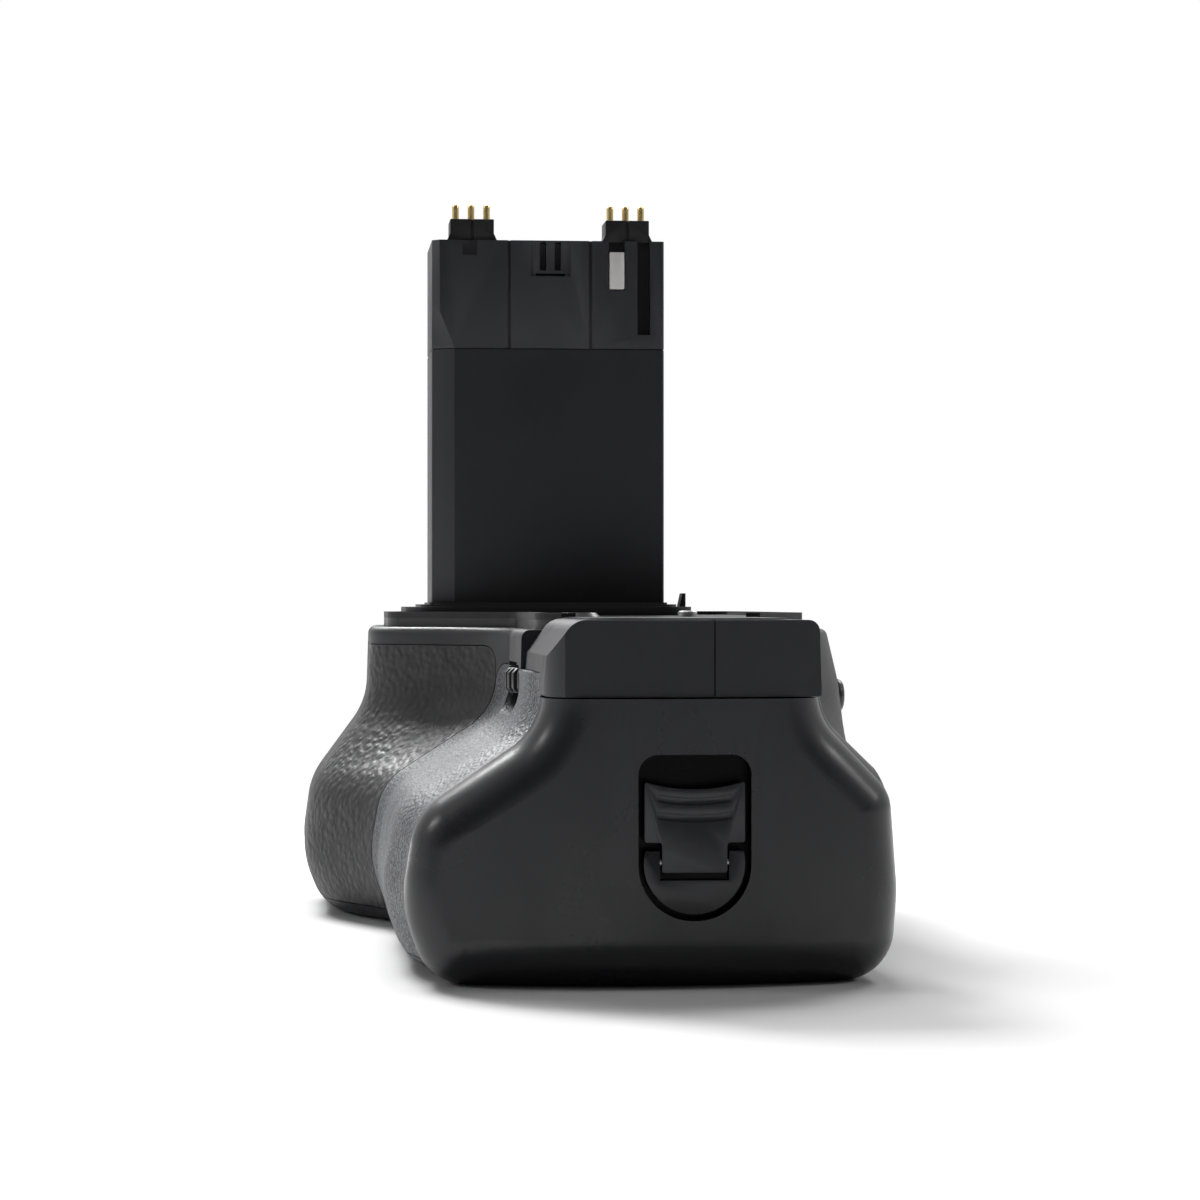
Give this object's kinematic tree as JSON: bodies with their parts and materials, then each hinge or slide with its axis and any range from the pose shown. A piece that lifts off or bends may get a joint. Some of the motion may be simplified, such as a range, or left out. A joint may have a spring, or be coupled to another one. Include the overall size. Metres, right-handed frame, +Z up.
{
  "type": "camera battery grip",
  "caption": "Battery grip that screws under a camera, with a battery-shaped contact tower, a slide-out battery magazine behind a latched end door, and its own upright-shooting controls.",
  "frame": {"origin": "on the axis of the attachment screw, in the plane of the top plate that meets the camera", "axes": "+X along the grip to the battery door, -Y is the camera's front, +Z is up to the camera"},
  "size_m": [0.1472, 0.0809, 0.1152],
  "materials": {
    "casing": "satin moulded plastic with a very fine texture",
    "door_plastic": "smooth satin moulded plastic",
    "fine_rubber": "soft rubber with a fine pebble grain",
    "coarse_rubber": "soft rubber with a coarse leather grain",
    "panel_plastic": "smooth matt plastic",
    "plate_metal": "black satin paint on pressed sheet",
    "gasket_rubber": "matt rubber band",
    "tower_plastic": "matt moulded plastic with a light texture",
    "contact_plastic": "matt moulded plastic",
    "gold": "gold plated, polished by wear",
    "steel": "turned steel",
    "black_steel": "blackened screw steel",
    "brass_bush": "turned brass",
    "wheel_rubber": "ribbed rubber rim",
    "white_plastic": "smooth white plastic",
    "pad_rubber": "matt rubber",
    "inner_plastic": "plain moulded plastic",
    "board": "glass fibre board with solder mask",
    "chip": "moulded chip packages",
    "control_plastic": "smooth black plastic",
    "dial_rubber": "ribbed matt plastic"
  },
  "bodies": {
    "grip": {"front_housing": "casing", "rear_housing": "casing", "front_rubber": "fine_rubber", "hand_grip_leather": "coarse_rubber", "thumb_rubber": "coarse_rubber", "rear_button_panel": "panel_plastic", "top_plate": "plate_metal", "top_plate_screws": "black_steel", "gasket": "gasket_rubber", "tower_collar": "tower_plastic", "door_spike": "contact_plastic", "tower_column": "tower_plastic", "tower_head": "tower_plastic", "front_contact_block": "contact_plastic", "rear_contact_block": "contact_plastic", "sensing_tab": "white_plastic", "screw_bush": "brass_bush", "locating_pin": "steel", "tripod_socket": "steel", "base_pad": "pad_rubber", "base_screws": "black_steel", "battery_chamber": "inner_plastic", "chamber_connector": "contact_plastic", "circuit_board": "board", "board_chips": "chip", "end_frame": "inner_plastic", "dial_bracket": "inner_plastic", "stick_housing": "inner_plastic"},
    "attachment": {"attachment_wheel": "wheel_rubber", "attachment_screw": "steel"},
    "magazine": {"battery_tray": "inner_plastic", "bay_contact_blocks": "contact_plastic", "bay_blades": "gold", "battery_door": "door_plastic", "latch_plate": "steel", "door_screws": "steel", "latch_knob": "door_plastic", "lever_pin": "steel"},
    "lever": {"latch_lever": "door_plastic"},
    "front_bolt": {"front_latch_bolt": "steel"},
    "rear_bolt": {"rear_latch_bolt": "steel"},
    "shutter": {"shutter_button": "control_plastic"},
    "function": {"function_button": "control_plastic"},
    "dial": {"main_dial": "dial_rubber", "dial_shaft": "steel"},
    "switch": {"power_switch": "control_plastic"},
    "focus": {"focus_button": "control_plastic"},
    "lock": {"lock_button": "control_plastic"},
    "point": {"point_button": "control_plastic"},
    "gimbal": {"stick_gimbal": "inner_plastic"},
    "stick": {"stick_cap": "control_plastic"},
    "pin_1": {"contact_pin_1": "gold"},
    "pin_2": {"contact_pin_2": "gold"},
    "pin_3": {"contact_pin_3": "gold"},
    "pin_4": {"contact_pin_4": "gold"},
    "pin_5": {"contact_pin_5": "gold"},
    "pin_6": {"contact_pin_6": "gold"}
  },
  "joints": [
    {"name": "attachment_turn", "type": "hinge", "parent": "grip", "child": "attachment", "pos_m": [0, 0, 0], "axis": [0, 0, 1], "continuous": true},
    {"name": "magazine_slide", "type": "slide", "parent": "grip", "child": "magazine", "axis": [1, 0, 0], "range_m": [0, 0.11]},
    {"name": "lever_fold", "type": "hinge", "parent": "magazine", "child": "lever", "pos_m": [0.05535, 0.0103, -0.0316], "axis": [0, 1, 0], "range_deg": [0, 90]},
    {"name": "front_bolt_slide", "type": "slide", "parent": "magazine", "child": "front_bolt", "axis": [0, 1, 0], "range_m": [0, 0.0022]},
    {"name": "rear_bolt_slide", "type": "slide", "parent": "magazine", "child": "rear_bolt", "axis": [0, -1, 0], "range_m": [0, 0.0022]},
    {"name": "shutter_press", "type": "slide", "parent": "grip", "child": "shutter", "axis": [1, 0, 0], "range_m": [0, 0.0009], "stiffness_N_per_m": 400, "springref_m": -0.00045},
    {"name": "function_press", "type": "slide", "parent": "grip", "child": "function", "axis": [1, 0, 0], "range_m": [0, 0.0005], "stiffness_N_per_m": 400, "springref_m": -0.00025},
    {"name": "dial_turn", "type": "hinge", "parent": "grip", "child": "dial", "pos_m": [-0.0806, -0.019, -0.015], "axis": [0, 1, 0], "continuous": true},
    {"name": "switch_turn", "type": "hinge", "parent": "grip", "child": "switch", "pos_m": [-0.09, 0.014, -0.012], "axis": [1, 0, 0], "range_deg": [0, 30]},
    {"name": "focus_press", "type": "slide", "parent": "grip", "child": "focus", "axis": [0, -1, 0], "range_m": [0, 0.0005], "stiffness_N_per_m": 400, "springref_m": -0.00025},
    {"name": "lock_press", "type": "slide", "parent": "grip", "child": "lock", "axis": [0, -1, 0], "range_m": [0, 0.0005], "stiffness_N_per_m": 400, "springref_m": -0.00025},
    {"name": "point_press", "type": "slide", "parent": "grip", "child": "point", "axis": [0, -1, 0], "range_m": [0, 0.0005], "stiffness_N_per_m": 400, "springref_m": -0.00025},
    {"name": "stick_up_down", "type": "hinge", "parent": "grip", "child": "gimbal", "pos_m": [-0.012, 0.0335, -0.012], "axis": [1, 0, 0], "range_deg": [-8, 8], "stiffness_Nm_per_rad": 0.02},
    {"name": "stick_side", "type": "hinge", "parent": "gimbal", "child": "stick", "pos_m": [-0.012, 0.0335, -0.012], "axis": [0, 0, 1], "range_deg": [-8, 8], "stiffness_Nm_per_rad": 0.02},
    {"name": "pin_1_press", "type": "slide", "parent": "grip", "child": "pin_1", "axis": [0, 0, -1], "range_m": [0, 0.001], "stiffness_N_per_m": 200, "springref_m": -0.0005},
    {"name": "pin_2_press", "type": "slide", "parent": "grip", "child": "pin_2", "axis": [0, 0, -1], "range_m": [0, 0.001], "stiffness_N_per_m": 200, "springref_m": -0.0005},
    {"name": "pin_3_press", "type": "slide", "parent": "grip", "child": "pin_3", "axis": [0, 0, -1], "range_m": [0, 0.001], "stiffness_N_per_m": 200, "springref_m": -0.0005},
    {"name": "pin_4_press", "type": "slide", "parent": "grip", "child": "pin_4", "axis": [0, 0, -1], "range_m": [0, 0.001], "stiffness_N_per_m": 200, "springref_m": -0.0005},
    {"name": "pin_5_press", "type": "slide", "parent": "grip", "child": "pin_5", "axis": [0, 0, -1], "range_m": [0, 0.001], "stiffness_N_per_m": 200, "springref_m": -0.0005},
    {"name": "pin_6_press", "type": "slide", "parent": "grip", "child": "pin_6", "axis": [0, 0, -1], "range_m": [0, 0.001], "stiffness_N_per_m": 200, "springref_m": -0.0005}
  ],
  "couplings": [
    {"joint": "lever_fold", "follows": "front_bolt_slide", "rad_per_m": 705},
    {"joint": "rear_bolt_slide", "follows": "front_bolt_slide", "ratio": 1}
  ]
}
